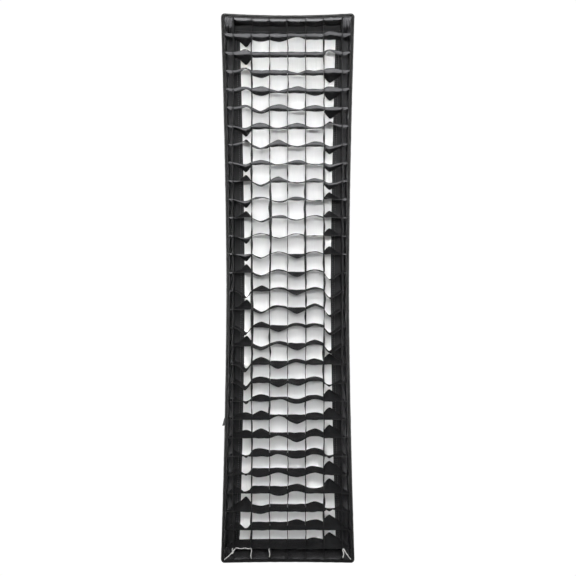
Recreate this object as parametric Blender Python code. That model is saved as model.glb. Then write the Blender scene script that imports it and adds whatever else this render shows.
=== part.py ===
"""Strip softbox, 0.29 m x 1.2 m at the front, with inner baffle, front diffuser and fabric grid.

Metres, +Z up, the front facing -Y. The origin is the centre of the mount insert's rear face, where
the light head seats, and the box turns about the Y axis through it.
"""

import math

import bmesh
import bpy
from mathutils import Matrix, Vector

# Front opening, measured over the rim, and its pull-in between the corners
FRONT_WIDTH = 0.290
FRONT_HEIGHT = 1.200
CORNER_RADIUS = 0.008
SIDE_SAG = 0.0105
TOP_SAG = 0.0044
BOTTOM_SAG = 0.0020
SIDE_STEPS = 10
END_STEPS = 6
ARC_STEPS = 4

# Depth from the mount face (y = 0) forward
FRONT_Y = -0.400
LIP_DEPTH = 0.060
GRID_DEPTH = 0.0485
SHELL_REAR_Y = -0.030

CLEARANCE = 0.0004
CLOTH = 0.0012
WALL_OUT = 0.0015
WALL_IN = 0.0029
BINDING_WIDTH = 0.0045
BINDING_DEPTH = 0.009
TAPE_OUT = 0.0033
BAND_OUT = 0.0050
BAND_IN = 0.0066

# Grid: cells of about 40 mm, the dividers upright and the slats level
CELL = 0.040
SLATS = 29
SLAT_TOP = 0.5565
SLAT_PITCH = 0.0402
DIVIDERS = 7
STRIP = 0.0010
SLOT = STRIP + 2 * CLEARANCE
GRID_FRONT_Y = FRONT_Y + 0.0012
GRID_REAR_Y = GRID_FRONT_Y + GRID_DEPTH
GRID_MIDDLE_Y = (GRID_FRONT_Y + GRID_REAR_Y) / 2

# Front diffuser
DIFFUSER_Y = FRONT_Y + LIP_DEPTH
DIFFUSER_CLOTH = 0.0008
BORDER_WIDTH = 0.028
BORDER_FLANGE = 0.008

# Shell
REAR_RADIUS = 0.100
REAR_CORNER = REAR_RADIUS * math.sqrt(0.5)
ROD_BOW = 0.030
ROUND_UNTIL = 0.35
SEAM_MARGIN = 0.002
SHELL_STEPS = 9
SHELL_SIDE_STEPS = 10
SHELL_END_STEPS = 6

# Mount insert and speedring
INSERT_BORE = 0.0490
FLANGE_RADIUS = 0.0755
FLANGE_THICKNESS = 0.005
SPIGOT_OUT = 0.0665
SPIGOT_IN = 0.0603
RING_RADIUS = 0.080
RING_THICKNESS = 0.020
RING_REAR_Y = -FLANGE_THICKNESS - CLEARANCE
RING_FRONT_Y = RING_REAR_Y - RING_THICKNESS
LUG_OUT = 0.0530
LUG_LIP_OUT = 0.0570
LUG_HEIGHT = 0.009
LUG_SWEEP = math.radians(26)
LUGS = 3
LUG_LIP = 0.003
LUG_STEPS = 5
LUG_OVERLAP = 0.0005
RETAINER_OUT = 0.0700
RETAINER_THICKNESS = 0.003
SCREW_CIRCLE = 0.0634
SCREW_RADIUS = 0.0015
SCREW_REACH = 0.008
SCREW_HEAD_RADIUS = 0.0028
SCREW_HEAD_HEIGHT = 0.0016
SCREW_SIDES = 12
CUT_PAST = 0.001
RING_SIDES = 40

# Lock screws, M6 with a 1 mm pitch, one at each side of the speedring
LOCK_Y = (RING_REAR_Y + RING_FRONT_Y) / 2
LOCK_HOLE = 0.0034
LOCK_SHANK = 0.0029
SHOE_LENGTH = 0.003
KNOB_START = 0.0860
KNOB_LENGTH = 0.014
KNOB_RADIUS = 0.010
KNOB_FLUTE = 0.0012
KNOB_LOBES = 8

# Rods
ROD_RADIUS = 0.0025
ROD_INSET_REAR = Vector((0.0184, 0.0100, 0.0184))
ROD_INSET_FRONT = Vector((0.0070, 0.0060, 0.0036))
ROD_STEPS = 14
SOCKET_RADIUS = 0.0075
SOCKET_BORE = 0.0030
SOCKET_END = 0.075
SOCKET_FLOOR = 0.009
FOOT_WIDTH = 0.012
FOOT_INSET = 0.0012
ROD_START = 0.012
ROD_END = 0.945
TIP_END = 0.960
TIP_RADIUS = 0.0038
TIP_BACK = 0.922
POCKET_IN = 0.0042
POCKET_OUT = 0.0054
POCKET_BACK = 0.900
POCKET_END = 0.966
BORE_LEAD = 0.01
TIP_BORE_PAST = 0.0012

# Inner baffle
BAFFLE_Y = -0.190
BAFFLE_HALF_WIDTH = 0.080
BAFFLE_HALF_HEIGHT = 0.230
STRAP_GAP = 0.001
STRAP_WIDTH = 0.010
STRAP_SEAM_AT = 0.62
STRAP_REACH = 0.88

# Sewn-in side label
LABEL_Z = -0.294
LABEL_HEIGHT = 0.017
LABEL_OUT = 0.0063

HALF_WIDTH = FRONT_WIDTH / 2
HALF_HEIGHT = FRONT_HEIGHT / 2
ARC_X = HALF_WIDTH - CORNER_RADIUS
ARC_Z = HALF_HEIGHT - CORNER_RADIUS
CORNERS = {
    "top_left": (-1, 1),
    "top_right": (1, 1),
    "bottom_left": (-1, -1),
    "bottom_right": (1, -1),
}

# (colour, roughness, metallic) of each finish
FINISHES = {
    "black_cloth": ((0.018, 0.018, 0.020), 0.75, 0.0),
    "grid_cloth": ((0.030, 0.030, 0.033), 0.60, 0.0),
    "binding": ((0.045, 0.045, 0.048), 0.65, 0.0),
    "white_cloth": ((0.86, 0.86, 0.85), 0.80, 0.0),
    "steel": ((0.62, 0.62, 0.63), 0.30, 1.0),
    "aluminium": ((0.70, 0.70, 0.71), 0.35, 1.0),
    "black_metal": ((0.020, 0.020, 0.021), 0.40, 0.6),
    "black_plastic": ((0.022, 0.022, 0.023), 0.45, 0.0),
    "elastic": ((0.70, 0.70, 0.68), 0.85, 0.0),
}


def clear_scene():
    for obj in list(bpy.data.objects):
        bpy.data.objects.remove(obj, do_unlink=True)


def pivot(name, location=(0.0, 0.0, 0.0), parent=None):
    """An empty on a joint's axis."""
    empty = bpy.data.objects.new(name, None)
    bpy.context.scene.collection.objects.link(empty)
    empty.location = Vector(location) - (parent.location if parent else Vector())
    empty.parent = parent
    bpy.context.view_layer.update()
    return empty


def hang(obj, parent):
    """Parents an object whose mesh is in world space."""
    obj.parent = parent
    obj.matrix_parent_inverse = parent.matrix_world.inverted()


def finish_object(name, data, finish):
    """Links an object with a material of its own."""
    obj = bpy.data.objects.new(name, data)
    bpy.context.scene.collection.objects.link(obj)
    colour, roughness, metallic = FINISHES[finish]
    material = bpy.data.materials.new(name)
    material.use_nodes = True
    shader = material.node_tree.nodes["Principled BSDF"]
    shader.inputs["Base Color"].default_value = (*colour, 1.0)
    shader.inputs["Roughness"].default_value = roughness
    shader.inputs["Metallic"].default_value = metallic
    data.materials.append(material)
    return obj


def solid(name, mesh, finish, smooth=False):
    """Turns a bmesh into an object with its faces pointing out."""
    bmesh.ops.remove_doubles(mesh, verts=mesh.verts, dist=1e-6)
    bmesh.ops.recalc_face_normals(mesh, faces=mesh.faces)
    data = bpy.data.meshes.new(name)
    mesh.to_mesh(data)
    mesh.free()
    if smooth:
        data.shade_smooth()
        data.set_sharp_from_angle(angle=math.radians(35))
    return finish_object(name, data, finish)


def helper(obj):
    """A cutter or a guide, which isn't a piece of the object."""
    obj.hide_render = True
    obj.display_type = "WIRE"
    return obj


def combine(obj, other, operation):
    change = obj.modifiers.new(operation.title(), "BOOLEAN")
    change.operation = operation
    change.object = helper(other)


def add_box(mesh, low, high):
    """A box between two corners."""
    low, high = Vector(low), Vector(high)
    place = Matrix.Translation((low + high) / 2) @ Matrix.Diagonal((*(high - low), 1.0))
    bmesh.ops.create_cube(mesh, size=1.0, matrix=place)


def add_cylinder(mesh, start, end, radius, sides=16):
    """A round bar between two points."""
    start, end = Vector(start), Vector(end)
    along = end - start
    turn = along.to_track_quat("Z", "Y").to_matrix().to_4x4()
    bmesh.ops.create_cone(
        mesh,
        cap_ends=True,
        segments=sides,
        radius1=radius,
        radius2=radius,
        depth=along.length,
        matrix=Matrix.Translation((start + end) / 2) @ turn,
    )


def cylinder(name, start, end, radius, finish, sides=16):
    mesh = bmesh.new()
    add_cylinder(mesh, start, end, radius, sides)
    return solid(name, mesh, finish, smooth=True)


def turned(name, profile, finish, sweep=2 * math.pi, turn=0.0, steps=RING_SIDES):
    """A closed (radius, y) profile turned about the Y axis, all the way round or over a sweep."""
    mesh = bmesh.new()
    corners = [mesh.verts.new((radius, y, 0.0)) for radius, y in profile]
    whole = sweep >= 2 * math.pi
    loop = [mesh.edges.new((corners[i - 1], corners[i])) for i in range(len(corners))]
    geometry = corners + loop if whole else corners + loop + [mesh.faces.new(corners)]
    bmesh.ops.spin(
        mesh, geom=geometry, cent=(0, 0, 0), axis=(0, 1, 0), angle=sweep, steps=steps, use_merge=whole
    )
    bmesh.ops.rotate(mesh, verts=mesh.verts, cent=(0, 0, 0), matrix=Matrix.Rotation(turn, 3, "Y"))
    return solid(name, mesh, finish, smooth=True)


def side_path(sign):
    """A long edge of the rim, from its lower end up, as (point, outward normal) pairs in (x, z)."""
    path = []
    for step in range(SIDE_STEPS + 1):
        z = ARC_Z * (2 * step / SIDE_STEPS - 1)
        x = HALF_WIDTH - SIDE_SAG * (1 - (z / ARC_Z) ** 2)
        slope = 2 * SIDE_SAG * z / ARC_Z**2
        path.append((Vector((sign * x, z)), Vector((sign, -slope)).normalized()))
    return path


def end_path(sign):
    """A short edge of the rim with both its corner arcs, from the +X side to the -X side."""
    sag = TOP_SAG if sign > 0 else BOTTOM_SAG
    arc = []
    for step in range(ARC_STEPS):
        angle = math.pi / 2 * step / ARC_STEPS
        normal = Vector((math.cos(angle), math.sin(angle)))
        arc.append((Vector((ARC_X, ARC_Z)) + CORNER_RADIUS * normal, normal))
    flat = []
    for step in range(END_STEPS + 1):
        x = ARC_X * (1 - 2 * step / END_STEPS)
        z = HALF_HEIGHT - sag * (1 - (x / ARC_X) ** 2)
        slope = 2 * sag * x / ARC_X**2
        flat.append((Vector((x, z)), Vector((-slope, 1)).normalized()))
    far_arc = [(Vector((-p.x, p.y)), Vector((-n.x, n.y))) for p, n in reversed(arc)]
    return [(Vector((p.x, sign * p.y)), Vector((n.x, sign * n.y))) for p, n in arc + flat + far_arc]


def rim_loop():
    """The whole rim, anticlockwise as seen from the front."""
    return side_path(1)[:-1] + end_path(1)[:-1] + side_path(-1)[::-1][:-1] + end_path(-1)[::-1][:-1]


def inset_point(station, inset):
    """A rim point moved inward; a corner arc shrinks to a square corner once it is used up."""
    point, normal = station
    moved = point - normal * inset
    reach_x = HALF_WIDTH - inset
    reach_z = HALF_HEIGHT - inset
    return max(-reach_x, min(reach_x, moved.x)), max(-reach_z, min(reach_z, moved.y))


def swept(name, path, section, finish, closed):
    """A closed (inset, y) section carried along a path of rim stations."""
    mesh = bmesh.new()
    loops = []
    for station in path:
        loop = []
        for inset, y in section:
            x, z = inset_point(station, inset)
            loop.append(mesh.verts.new((x, y, z)))
        loops.append(loop)
    pairs = list(zip(loops, loops[1:]))
    if closed:
        pairs.append((loops[-1], loops[0]))
    else:
        mesh.faces.new(loops[0])
        mesh.faces.new(loops[-1])
    for here, there in pairs:
        for i in range(len(section)):
            mesh.faces.new((here[i - 1], here[i], there[i], there[i - 1]))
    bmesh.ops.remove_doubles(mesh, verts=mesh.verts, dist=1e-6)
    bmesh.ops.dissolve_degenerate(mesh, dist=1e-7, edges=mesh.edges)
    return solid(name, mesh, finish)


def rectangle(inset_a, inset_b, y_a, y_b):
    """A section with four corners."""
    return [(inset_a, y_a), (inset_b, y_a), (inset_b, y_b), (inset_a, y_b)]


def band_half_width(z):
    """Half the free width inside the grid's band at a height."""
    return HALF_WIDTH - SIDE_SAG * (1 - (z / ARC_Z) ** 2) - BAND_IN


def band_end(x, sign):
    """Height of the grid band's inner face at its top or bottom end."""
    sag = TOP_SAG if sign > 0 else BOTTOM_SAG
    return sign * (HALF_HEIGHT - sag * (1 - (x / ARC_X) ** 2) - BAND_IN)


def mix(a, b, share):
    return a + (b - a) * share


def smooth_step(value):
    value = max(0.0, min(1.0, value))
    return value * value * (3 - 2 * value)


def seam(share):
    """The corner seam of the shell in the +X, +Z quarter: share 0 at the speedring, 1 at the lip."""
    rear = Vector((REAR_CORNER, SHELL_REAR_Y, REAR_CORNER))
    front = Vector((HALF_WIDTH - WALL_OUT, DIFFUSER_Y + 2 * CLEARANCE, HALF_HEIGHT - WALL_OUT))
    chord = front - rear
    outward = Vector((0.0, chord.z, -chord.y)).normalized()
    return rear + chord * share + outward * (4 * ROD_BOW * share * (1 - share))


def rod_point(share, corner):
    """A rod's centre line, just inside its seam."""
    inset = ROD_INSET_REAR.lerp(ROD_INSET_FRONT, smooth_step(share / ROUND_UNTIL))
    point = seam(share) - inset
    return Vector((corner[0] * point.x, point.y, corner[1] * point.z))


def shell_point(share, across, side):
    """A point on a shell panel: round at the speedring, pulled in between its seams further forward."""
    edge = seam(share)
    bulge = REAR_RADIUS - REAR_CORNER
    pull = {"left": SIDE_SAG, "right": SIDE_SAG, "top": TOP_SAG, "bottom": BOTTOM_SAG}[side]
    sag = mix(-bulge, pull, smooth_step(share / ROUND_UNTIL)) * (1 - across**2)
    if side in ("left", "right"):
        sign = 1 if side == "right" else -1
        return Vector((sign * (edge.x - sag), edge.y, across * (edge.z - SEAM_MARGIN)))
    sign = 1 if side == "top" else -1
    return Vector((across * (edge.x - SEAM_MARGIN), edge.y, sign * (edge.z - sag)))


def shell_panel(side):
    """One cloth panel of the shell, its thickness on the inside."""
    across_steps = SHELL_SIDE_STEPS if side in ("left", "right") else SHELL_END_STEPS
    mesh = bmesh.new()
    rows = []
    for i in range(SHELL_STEPS + 1):
        row = []
        for j in range(across_steps + 1):
            row.append(mesh.verts.new(shell_point(i / SHELL_STEPS, 2 * j / across_steps - 1, side)))
        rows.append(row)
    outward_first = side in ("right", "bottom")
    for near, far in zip(rows, rows[1:]):
        for j in range(across_steps):
            corners = (near[j], far[j], far[j + 1], near[j + 1])
            mesh.faces.new(corners if outward_first else corners[::-1])
    data = bpy.data.meshes.new(f"shell_{side}")
    mesh.to_mesh(data)
    mesh.free()
    obj = finish_object(f"shell_{side}", data, "black_cloth")
    thicken = obj.modifiers.new("Cloth", "SOLIDIFY")
    thicken.thickness = CLOTH
    thicken.offset = -1.0
    return obj


def slat_heights():
    """From the top slat down; the row hangs a little low in the rim."""
    return [SLAT_TOP - SLAT_PITCH * i for i in range(SLATS)]


def divider_places():
    return [CELL * (i - (DIVIDERS - 1) / 2) for i in range(DIVIDERS)]


def grid_ladder():
    """The grid's edge band with its level slats, which are slotted from behind for the dividers."""
    section = rectangle(BAND_OUT, BAND_IN, GRID_FRONT_Y, GRID_REAR_Y)
    ladder = swept("grid_slats", rim_loop(), section, "grid_cloth", closed=True)
    slats = bmesh.new()
    into_band = (BAND_IN - BAND_OUT) / 2
    set_in = CLEARANCE / 2
    for z in slat_heights():
        reach = band_half_width(z) + into_band
        low = (-reach, GRID_FRONT_Y + set_in, z - STRIP / 2)
        add_box(slats, low, (reach, GRID_REAR_Y - set_in, z + STRIP / 2))
    combine(ladder, solid("slats_to_join", slats, "grid_cloth"), "UNION")
    slots = bmesh.new()
    top, bottom = SLAT_TOP + CELL / 4, slat_heights()[-1] - CELL / 4
    for x in divider_places():
        low = (x - SLOT / 2, GRID_MIDDLE_Y - CLEARANCE / 2, bottom)
        add_box(slots, low, (x + SLOT / 2, GRID_REAR_Y + CLEARANCE, top))
    combine(ladder, solid("slots_in_slats", slots, "grid_cloth"), "DIFFERENCE")
    return ladder


def grid_divider(number, x):
    """An upright divider, slotted from the front for the slats."""
    strip = bmesh.new()
    low = (x - STRIP / 2, GRID_FRONT_Y, band_end(x, -1) + CLEARANCE)
    high = (x + STRIP / 2, GRID_REAR_Y, band_end(x, 1) - CLEARANCE)
    add_box(strip, low, high)
    divider = solid(f"grid_divider_{number}", strip, "grid_cloth")
    slots = bmesh.new()
    for z in slat_heights():
        low = (x - STRIP, GRID_FRONT_Y - CLEARANCE, z - SLOT / 2)
        high = (x + STRIP, GRID_MIDDLE_Y + CLEARANCE / 2, z + SLOT / 2)
        add_box(slots, low, high)
    combine(divider, solid(f"slots_in_divider_{number}", slots, "grid_cloth"), "DIFFERENCE")
    return divider


def grid(parent):
    hang(grid_ladder(), parent)
    for number, x in enumerate(divider_places(), start=1):
        hang(grid_divider(number, x), parent)


def diffuser(parent):
    """The white cloth and the black border that grips the lip's tape."""
    outline = [inset_point(station, BAND_OUT + 2 * CLEARANCE) for station in rim_loop()]
    back = DIFFUSER_Y
    mesh = bmesh.new()
    face = mesh.faces.new([mesh.verts.new((x, back, z)) for x, z in outline])
    grown = bmesh.ops.extrude_face_region(mesh, geom=[face])
    lifted = [item for item in grown["geom"] if isinstance(item, bmesh.types.BMVert)]
    bmesh.ops.translate(mesh, verts=lifted, vec=(0, -DIFFUSER_CLOTH, 0))
    hang(solid("diffuser_panel", mesh, "white_cloth"), parent)
    border_back = DIFFUSER_Y - DIFFUSER_CLOTH - CLEARANCE
    border_front = border_back - CLOTH
    section = [
        (BAND_OUT, border_back),
        (BAND_OUT + BORDER_WIDTH, border_back),
        (BAND_OUT + BORDER_WIDTH, border_front),
        (BAND_OUT + CLOTH, border_front),
        (BAND_OUT + CLOTH, border_back - BORDER_FLANGE),
        (BAND_OUT, border_back - BORDER_FLANGE),
    ]
    hang(swept("diffuser_border", rim_loop(), section, "black_cloth", closed=True), parent)


def lip(parent):
    """The perpendicular front wall in four panels, with its binding and its loop tape."""
    paths = {"right": side_path(1), "left": side_path(-1), "top": end_path(1), "bottom": end_path(-1)}
    front = FRONT_Y + CLOTH + CLEARANCE
    wall = rectangle(WALL_OUT, WALL_IN, front, DIFFUSER_Y)
    for side, path in paths.items():
        if side in ("left", "right"):
            trim = Vector((0.0, CLEARANCE))
            path = [(path[0][0] + trim, path[0][1]), *path[1:-1], (path[-1][0] - trim, path[-1][1])]
        hang(swept(f"lip_{side}", path, wall, "black_cloth", closed=False), parent)
    fold = FRONT_Y + BINDING_DEPTH
    leg = (BINDING_WIDTH - (WALL_IN - WALL_OUT) - 2 * CLEARANCE) / 2
    groove = FRONT_Y + CLOTH
    section = [
        (0.0, fold),
        (0.0, FRONT_Y),
        (BINDING_WIDTH, FRONT_Y),
        (BINDING_WIDTH, fold),
        (BINDING_WIDTH - leg, fold),
        (BINDING_WIDTH - leg, groove),
        (leg, groove),
        (leg, fold),
    ]
    hang(swept("rim_binding", rim_loop(), section, "binding", closed=True), parent)
    tape = rectangle(TAPE_OUT, BINDING_WIDTH, fold + CLEARANCE, DIFFUSER_Y)
    hang(swept("lip_loop_tape", rim_loop(), tape, "black_cloth", closed=True), parent)


def side_label(parent):
    """A blank folded label caught in the left seam, just behind the binding."""
    edge = HALF_WIDTH - SIDE_SAG * (1 - (LABEL_Z / ARC_Z) ** 2) - WALL_OUT + CLEARANCE
    y = FRONT_Y + BINDING_DEPTH + CLOTH
    mesh = bmesh.new()
    low = (-edge - LABEL_OUT - WALL_OUT, y, LABEL_Z - LABEL_HEIGHT / 2)
    add_box(mesh, low, (-edge, y + CLOTH, LABEL_Z + LABEL_HEIGHT / 2))
    hang(solid("side_label", mesh, "black_cloth"), parent)


def shell(parent):
    for side in ("left", "right", "top", "bottom"):
        hang(shell_panel(side), parent)
    outer = REAR_RADIUS - CLOTH
    rear = SHELL_REAR_Y + 3 * CLOTH
    profile = [
        (RING_RADIUS + CLEARANCE, rear),
        (outer, rear),
        (outer, rear - CLOTH),
        (RING_RADIUS + CLEARANCE, rear - CLOTH),
    ]
    hang(turned("rear_collar", profile, "black_cloth"), parent)


def baffle(parent):
    """The inner baffle on its four elastic straps."""
    mesh = bmesh.new()
    low = (-BAFFLE_HALF_WIDTH, BAFFLE_Y - CLOTH / 2, -BAFFLE_HALF_HEIGHT)
    add_box(mesh, low, (BAFFLE_HALF_WIDTH, BAFFLE_Y + CLOTH / 2, BAFFLE_HALF_HEIGHT))
    hang(solid("inner_baffle", mesh, "white_cloth"), parent)
    for name, corner in CORNERS.items():
        strap_z = corner[1] * (BAFFLE_HALF_HEIGHT + STRAP_GAP)
        start = Vector((corner[0] * BAFFLE_HALF_WIDTH, BAFFLE_Y, strap_z))
        hold = seam(STRAP_SEAM_AT)
        end = start.lerp(Vector((corner[0] * hold.x, hold.y, corner[1] * hold.z)), STRAP_REACH)
        mesh = bmesh.new()
        along = (end - start).normalized()
        across = along.cross(Vector((0, 1, 0))).normalized()
        frame = Matrix((across, across.cross(along), along)).transposed().to_4x4()
        size = Matrix.Diagonal((CLOTH, STRAP_WIDTH, (end - start).length, 1.0))
        place = Matrix.Translation((start + end) / 2)
        bmesh.ops.create_cube(mesh, size=1.0, matrix=place @ frame @ size)
        hang(solid(f"baffle_strap_{name}", mesh, "elastic"), parent)


def rod(name, corner, parent):
    """A sprung rod as a bevelled curve."""
    curve = bpy.data.curves.new(f"rod_{name}", "CURVE")
    curve.dimensions = "3D"
    spline = curve.splines.new("POLY")
    spline.points.add(ROD_STEPS)
    for i, point in enumerate(spline.points):
        share = mix(ROD_START, ROD_END, i / ROD_STEPS)
        point.co = (*rod_point(share, corner), 1.0)
    curve.bevel_depth = ROD_RADIUS
    curve.bevel_resolution = 2
    curve.use_fill_caps = True
    hang(finish_object(f"rod_{name}", curve, "steel"), parent)


def along_rod(start, end, corner, extra=0.0):
    """Two points on a rod's centre line, the second moved on by some extra length."""
    first = rod_point(start, corner)
    last = rod_point(end, corner)
    return first, last + (last - first).normalized() * extra


def rod_end(name, corner, parent):
    """The rod's plastic tip and the sewn pocket that it pushes into."""
    start, end = along_rod(TIP_BACK, TIP_END, corner)
    tip = cylinder(f"rod_tip_{name}", start, end, TIP_RADIUS, "black_plastic")
    start, end = along_rod(TIP_BACK - BORE_LEAD, ROD_END, corner, TIP_BORE_PAST)
    hollow = cylinder(f"tip_bore_{name}", start, end, ROD_RADIUS + CLEARANCE, "black_plastic")
    combine(tip, hollow, "DIFFERENCE")
    hang(tip, parent)
    start, end = along_rod(POCKET_BACK, POCKET_END, corner)
    pocket = cylinder(f"corner_pocket_{name}", start, end, POCKET_OUT, "black_cloth")
    start, end = along_rod(POCKET_BACK - BORE_LEAD, TIP_END, corner, CLEARANCE)
    combine(pocket, cylinder(f"pocket_bore_{name}", start, end, POCKET_IN, "black_cloth"), "DIFFERENCE")
    hang(pocket, parent)


def rod_socket(name, corner, parent):
    """A bored socket on a foot that stands on the speedring's front face."""
    start, end = along_rod(0.0, SOCKET_END, corner)
    socket = cylinder(f"rod_socket_{name}", start, end, SOCKET_RADIUS, "black_metal")
    outward = Vector((corner[0], 0, corner[1])).normalized()
    across = Vector((0, 1, 0)).cross(outward)
    near = RETAINER_OUT + FOOT_INSET
    far = RING_RADIUS - CLEARANCE
    top = RING_FRONT_Y - CLEARANCE
    depth = top - start.y
    middle = outward * ((near + far) / 2) + Vector((0, top - depth / 2, 0))
    frame = Matrix((across, Vector((0, 1, 0)), outward)).transposed().to_4x4()
    foot = bmesh.new()
    size = Matrix.Diagonal((FOOT_WIDTH, depth, far - near, 1.0))
    bmesh.ops.create_cube(foot, size=1.0, matrix=Matrix.Translation(middle) @ frame @ size)
    combine(socket, solid(f"socket_foot_{name}", foot, "black_metal"), "UNION")
    floor = rod_point(SOCKET_FLOOR, corner)
    mouth = rod_point(SOCKET_END + BORE_LEAD, corner)
    bore = cylinder(f"socket_bore_{name}", floor, mouth, SOCKET_BORE, "black_metal")
    combine(socket, bore, "DIFFERENCE")
    hang(socket, parent)


def rods(parent):
    for name, corner in CORNERS.items():
        rod(name, corner, parent)
        rod_end(name, corner, parent)
        rod_socket(name, corner, parent)


def on_circle(radius, angle, y):
    return Vector((radius * math.cos(angle), y, radius * math.sin(angle)))


def bayonet_lug(number):
    """One of the insert's L-shaped lugs, behind its flange."""
    root = INSERT_BORE + LUG_OVERLAP
    profile = [
        (root, -FLANGE_THICKNESS / 2),
        (LUG_OUT, -FLANGE_THICKNESS / 2),
        (LUG_OUT, LUG_HEIGHT - LUG_LIP),
        (LUG_LIP_OUT, LUG_HEIGHT - LUG_LIP),
        (LUG_LIP_OUT, LUG_HEIGHT),
        (root, LUG_HEIGHT),
    ]
    turn = 2 * math.pi * (number - 1) / LUGS
    return turned(f"lug_{number}", profile, "aluminium", LUG_SWEEP, turn, LUG_STEPS)


def retaining_screw(number, angle, head_y, holders):
    """A pan-head screw through the retaining ring into the insert, with its holes."""
    head = on_circle(SCREW_CIRCLE, angle, head_y)
    top = on_circle(SCREW_CIRCLE, angle, head_y - SCREW_HEAD_HEIGHT)
    middle = head.lerp(top, 0.5)
    end = on_circle(SCREW_CIRCLE, angle, RING_FRONT_Y + SCREW_REACH)
    past = Vector((0, CUT_PAST, 0))
    for i, holder in enumerate(holders, start=1):
        name = f"screw_hole_{number}_{i}"
        hole = cylinder(name, end + past, head - past, SCREW_RADIUS + CLEARANCE, "steel", SCREW_SIDES)
        combine(holder, hole, "DIFFERENCE")
    screw = cylinder(f"retaining_screw_{number}", head, top, SCREW_HEAD_RADIUS, "steel")
    shank = cylinder(f"screw_shank_{number}", end, middle, SCREW_RADIUS, "steel", SCREW_SIDES)
    combine(screw, shank, "UNION")


def mount_insert():
    """The three-lug bayonet insert that stays with the light head, and its bolted retaining ring."""
    spigot_end = RING_FRONT_Y - CLEARANCE
    profile = [
        (INSERT_BORE, 0.0),
        (FLANGE_RADIUS, 0.0),
        (FLANGE_RADIUS, -FLANGE_THICKNESS),
        (SPIGOT_OUT, -FLANGE_THICKNESS),
        (SPIGOT_OUT, spigot_end),
        (SPIGOT_IN, spigot_end),
        (SPIGOT_IN, -FLANGE_THICKNESS),
        (INSERT_BORE, -FLANGE_THICKNESS),
    ]
    insert = turned("mount_insert", profile, "aluminium")
    ring_rear = spigot_end - CLEARANCE
    ring_front = ring_rear - RETAINER_THICKNESS
    ring_profile = [
        (SPIGOT_IN, ring_rear),
        (RETAINER_OUT, ring_rear),
        (RETAINER_OUT, ring_front),
        (SPIGOT_IN, ring_front),
    ]
    retainer = turned("insert_retaining_ring", ring_profile, "steel")
    for number in range(1, LUGS + 1):
        combine(insert, bayonet_lug(number), "UNION")
        angle = math.pi / LUGS * (2 * number - 1.5)
        retaining_screw(number, angle, ring_front - CLEARANCE, (insert, retainer))


def speedring(parent):
    """The ring that turns on the insert, cross-drilled for the two lock screws."""
    profile = [
        (SPIGOT_OUT + CLEARANCE, RING_REAR_Y),
        (RING_RADIUS, RING_REAR_Y),
        (RING_RADIUS, RING_FRONT_Y),
        (SPIGOT_OUT + CLEARANCE, RING_FRONT_Y),
    ]
    ring = turned("speedring_body", profile, "black_metal")
    for name, sign in (("left", -1), ("right", 1)):
        inside = (sign * (SPIGOT_OUT - CUT_PAST), LOCK_Y, 0)
        outside = (sign * (RING_RADIUS + CUT_PAST), LOCK_Y, 0)
        hole = cylinder(f"lock_hole_{name}", inside, outside, LOCK_HOLE, "black_metal")
        combine(ring, hole, "DIFFERENCE")
    hang(ring, parent)


def fluted_grip(name, sign):
    """The knob's grip, with lobes round its edge."""
    mesh = bmesh.new()
    sides = 4 * KNOB_LOBES
    rings = []
    for x in (KNOB_START, KNOB_START + KNOB_LENGTH):
        ring = []
        for i in range(sides):
            angle = 2 * math.pi * i / sides
            radius = KNOB_RADIUS - KNOB_FLUTE * (1 - math.cos(KNOB_LOBES * angle)) / 2
            place = (sign * x, LOCK_Y + radius * math.cos(angle), radius * math.sin(angle))
            ring.append(mesh.verts.new(place))
        rings.append(ring)
        mesh.faces.new(ring)
    for i in range(sides):
        mesh.faces.new((rings[0][i - 1], rings[0][i], rings[1][i], rings[1][i - 1]))
    return solid(name, mesh, "black_plastic")


def lock_screw(name, sign, parent):
    """A nylon shoe that grips the insert's spigot, and the fluted knob whose screw pushes it."""
    shoe_start = (sign * (SPIGOT_OUT + CLEARANCE), LOCK_Y, 0)
    shoe_end = (sign * (SPIGOT_OUT + CLEARANCE + SHOE_LENGTH), LOCK_Y, 0)
    shoe = cylinder(f"lock_shoe_{name}", shoe_start, shoe_end, LOCK_SHANK, "black_plastic")
    hang(shoe, pivot(f"lock_shoe_{name}_slide", shoe_start, parent))
    knob = fluted_grip(f"lock_knob_{name}", sign)
    shank_start = (shoe_end[0] + sign * CLEARANCE, LOCK_Y, 0)
    shank_end = (sign * (KNOB_START + KNOB_LENGTH / 2), LOCK_Y, 0)
    combine(knob, cylinder(f"lock_shank_{name}", shank_start, shank_end, LOCK_SHANK, "steel"), "UNION")
    hang(knob, pivot(f"lock_knob_{name}_axis", (sign * KNOB_START, LOCK_Y, 0), parent))


def main():
    clear_scene()
    box_pivot = pivot("box_rotation_axis")
    diffuser_pivot = pivot("diffuser_slide", (0, DIFFUSER_Y, 0), box_pivot)
    grid_pivot = pivot("grid_slide", (0, GRID_REAR_Y, 0), box_pivot)
    mount_insert()
    speedring(box_pivot)
    lock_screw("left", -1, box_pivot)
    lock_screw("right", 1, box_pivot)
    rods(box_pivot)
    shell(box_pivot)
    lip(box_pivot)
    side_label(box_pivot)
    baffle(box_pivot)
    diffuser(diffuser_pivot)
    grid(grid_pivot)


main()
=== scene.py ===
import math

import bpy
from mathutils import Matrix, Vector, noise


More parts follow.
